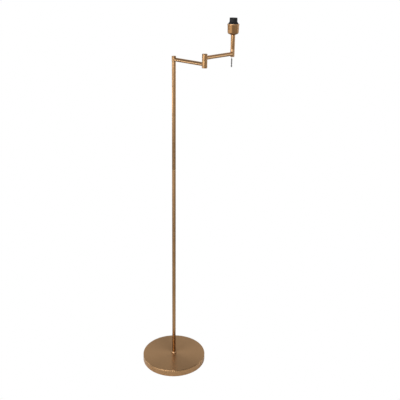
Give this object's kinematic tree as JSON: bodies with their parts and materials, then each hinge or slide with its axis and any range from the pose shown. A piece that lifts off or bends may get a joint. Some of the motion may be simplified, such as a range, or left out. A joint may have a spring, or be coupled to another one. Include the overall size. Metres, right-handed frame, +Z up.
{
  "type": "pharmacy floor lamp",
  "caption": "Swing-arm floor lamp in brushed bronze: weighted round base, slim pole, two level arms on knuckles, and a bare lampholder in a cup with a pull switch.",
  "frame": {"origin": "centre of the base's underside, on the floor; the pole's axis is the Z axis", "axes": "+Z up along the pole, +X towards the lampholder side at rest, +Y to the rear, where the cable inlet is"},
  "size_m": [0.403, 0.2941, 1.5715],
  "materials": {
    "brushed_bronze": "brushed and lacquered antique bronze",
    "zinc_steel": "zinc plated",
    "raw_brass": "turned, uncoated",
    "cast_iron": "as cast",
    "felt": "pressed felt",
    "rubber": "moulded",
    "black_plastic": "moulded, satin",
    "ceramic": "glazed insulator",
    "dark_nickel": "dark nickel plate",
    "wire_sleeve": "insulated conductors"
  },
  "bodies": {
    "base_and_pole": {"felt_pad": "felt", "base_weight": "cast_iron", "base_cover": "brushed_bronze", "cable_grommet": "rubber", "base_nipple": "zinc_steel", "base_washer": "zinc_steel", "base_nut": "zinc_steel", "foot_collar": "brushed_bronze", "foot_bush": "raw_brass", "lower_pole": "brushed_bronze", "pole_coupler": "raw_brass", "upper_pole": "brushed_bronze", "pole_top_bush": "raw_brass", "shoulder_spindle": "zinc_steel", "shoulder_washer": "raw_brass", "shoulder_wave_washer": "zinc_steel", "shoulder_nut": "zinc_steel", "pole_wire": "wire_sleeve"},
    "lower_arm": {"shoulder_knuckle": "brushed_bronze", "shoulder_cap": "brushed_bronze", "lower_arm_tube": "brushed_bronze", "mid_knuckle_lower": "brushed_bronze", "mid_bottom_cap": "brushed_bronze", "mid_lower_nut": "zinc_steel", "mid_spindle": "zinc_steel", "mid_friction_washer": "raw_brass", "mid_wave_washer": "zinc_steel", "mid_upper_nut": "zinc_steel", "lower_arm_wire": "wire_sleeve"},
    "upper_arm": {"mid_knuckle_upper": "brushed_bronze", "mid_top_cap": "brushed_bronze", "upper_arm_tube": "brushed_bronze", "end_knuckle": "brushed_bronze", "end_bottom_cap": "brushed_bronze", "pull_outlet": "dark_nickel", "switch_body": "black_plastic", "switch_spring": "zinc_steel", "stem_bush": "raw_brass", "stem_tube": "brushed_bronze", "stem_top_bush": "raw_brass", "lampholder_cup": "brushed_bronze", "cup_nut": "zinc_steel", "cup_nipple": "zinc_steel", "lampholder_base": "black_plastic", "lampholder_barrel": "black_plastic", "contact_block": "ceramic", "screw_shell": "raw_brass", "centre_contact": "raw_brass", "terminal_screw_1": "raw_brass", "terminal_screw_2": "raw_brass", "upper_arm_wire": "wire_sleeve", "stem_wire": "wire_sleeve"},
    "pull": {"pull_head": "dark_nickel", "pull_wire": "dark_nickel", "pull_sleeve": "dark_nickel", "pull_bead": "dark_nickel"}
  },
  "joints": [
    {"name": "lower_arm_swing", "type": "hinge", "parent": "base_and_pole", "child": "lower_arm", "pos_m": [0, 0, 1.4096], "axis": [0, 0, 1], "range_deg": [-122.3, 217.7]},
    {"name": "upper_arm_swing", "type": "hinge", "parent": "lower_arm", "child": "upper_arm", "pos_m": [0.12249, -0.13461, 1.4334], "axis": [0, 0, 1], "range_deg": [-260.2, 59.8]},
    {"name": "pull_slide", "type": "slide", "parent": "upper_arm", "child": "pull", "axis": [0, 0, -1], "range_m": [0, 0.006], "stiffness_N_per_m": 400, "deforming": ["switch_spring"]}
  ]
}
